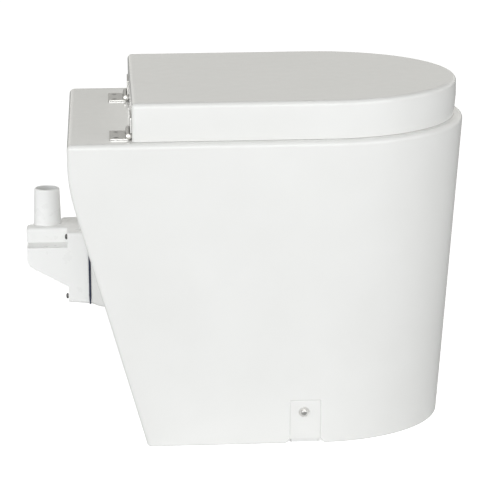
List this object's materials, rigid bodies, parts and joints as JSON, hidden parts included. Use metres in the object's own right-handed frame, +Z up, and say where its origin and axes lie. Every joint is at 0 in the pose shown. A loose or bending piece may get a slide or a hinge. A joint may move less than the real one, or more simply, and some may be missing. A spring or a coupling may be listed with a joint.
{
  "type": "composting toilet",
  "caption": "Compact composting toilet with a tapered pedestal, hinged lid, urine-diverting bowl, inner containers and a rear vent fan with an upright hose nozzle.",
  "frame": {"origin": "centre of the footprint on the floor, with the lid shut", "axes": "+X to the front of the toilet, away from the fan; +Y to the side that is on the user's left when seated; +Z up"},
  "size_m": [0.566, 0.3872, 0.448],
  "materials": {
    "white_gloss": "smooth glossy white moulding",
    "white_inner": "smooth white moulding",
    "grey_plastic": "satin grey moulding",
    "natural_plastic": "satin natural polyethylene",
    "black_plastic": "satin black moulding",
    "stainless": "brushed stainless steel",
    "zinc_steel": "zinc-plated steel",
    "pale_rubber": "matt pale rubber",
    "gasket_rubber": "matt dark rubber"
  },
  "bodies": {
    "base": {"deck_leaf_screw_far_1": "stainless", "deck_leaf_screw_far_2": "stainless", "deck_leaf_screw_near_1": "stainless", "deck_leaf_screw_near_2": "stainless", "diverter_bowl": "white_inner", "fan_frame": "black_plastic", "fan_housing": "white_gloss", "fan_screw_1": "zinc_steel", "fan_screw_2": "zinc_steel", "fan_screw_3": "zinc_steel", "fan_screw_4": "zinc_steel", "floor_bracket_far": "zinc_steel", "floor_bracket_near": "zinc_steel", "hinge_deck_leaf_far": "stainless", "hinge_deck_leaf_near": "stainless", "hinge_pin_far": "stainless", "hinge_pin_near": "stainless", "housing_screw_1": "stainless", "housing_screw_2": "stainless", "housing_screw_3": "stainless", "housing_screw_4": "stainless", "outlet_cap": "white_gloss", "pedestal_shell": "white_gloss", "seat_buffer_front_far": "pale_rubber", "seat_buffer_front_near": "pale_rubber", "seat_buffer_rear_far": "pale_rubber", "seat_buffer_rear_near": "pale_rubber", "seat_ring": "white_inner", "seat_screw_far": "stainless", "seat_screw_near": "stainless", "side_screw_far": "stainless", "side_screw_near": "stainless", "side_washer_far": "stainless", "side_washer_near": "stainless", "solids_container": "grey_plastic", "urine_tank": "natural_plastic", "vent_gasket": "gasket_rubber"},
    "lid": {"hinge_lid_leaf_far": "stainless", "hinge_lid_leaf_near": "stainless", "lid_buffer_front_far": "pale_rubber", "lid_buffer_front_near": "pale_rubber", "lid_buffer_rear_far": "pale_rubber", "lid_buffer_rear_near": "pale_rubber", "lid_leaf_screw_far_1": "stainless", "lid_leaf_screw_far_2": "stainless", "lid_leaf_screw_near_1": "stainless", "lid_leaf_screw_near_2": "stainless", "lid_liner": "white_inner", "lid_shell": "white_gloss"},
    "rotor": {"fan_rotor": "black_plastic"}
  },
  "joints": [
    {"name": "lid_hinge", "type": "hinge", "parent": "base", "child": "lid", "pos_m": [-0.1505, 0, 0.4045], "axis": [0, -1, 0], "range_deg": [0, 100]},
    {"name": "fan_spin", "type": "hinge", "parent": "base", "child": "rotor", "pos_m": [-0.2119, 0, 0.2095], "axis": [1, 0, 0], "continuous": true}
  ]
}
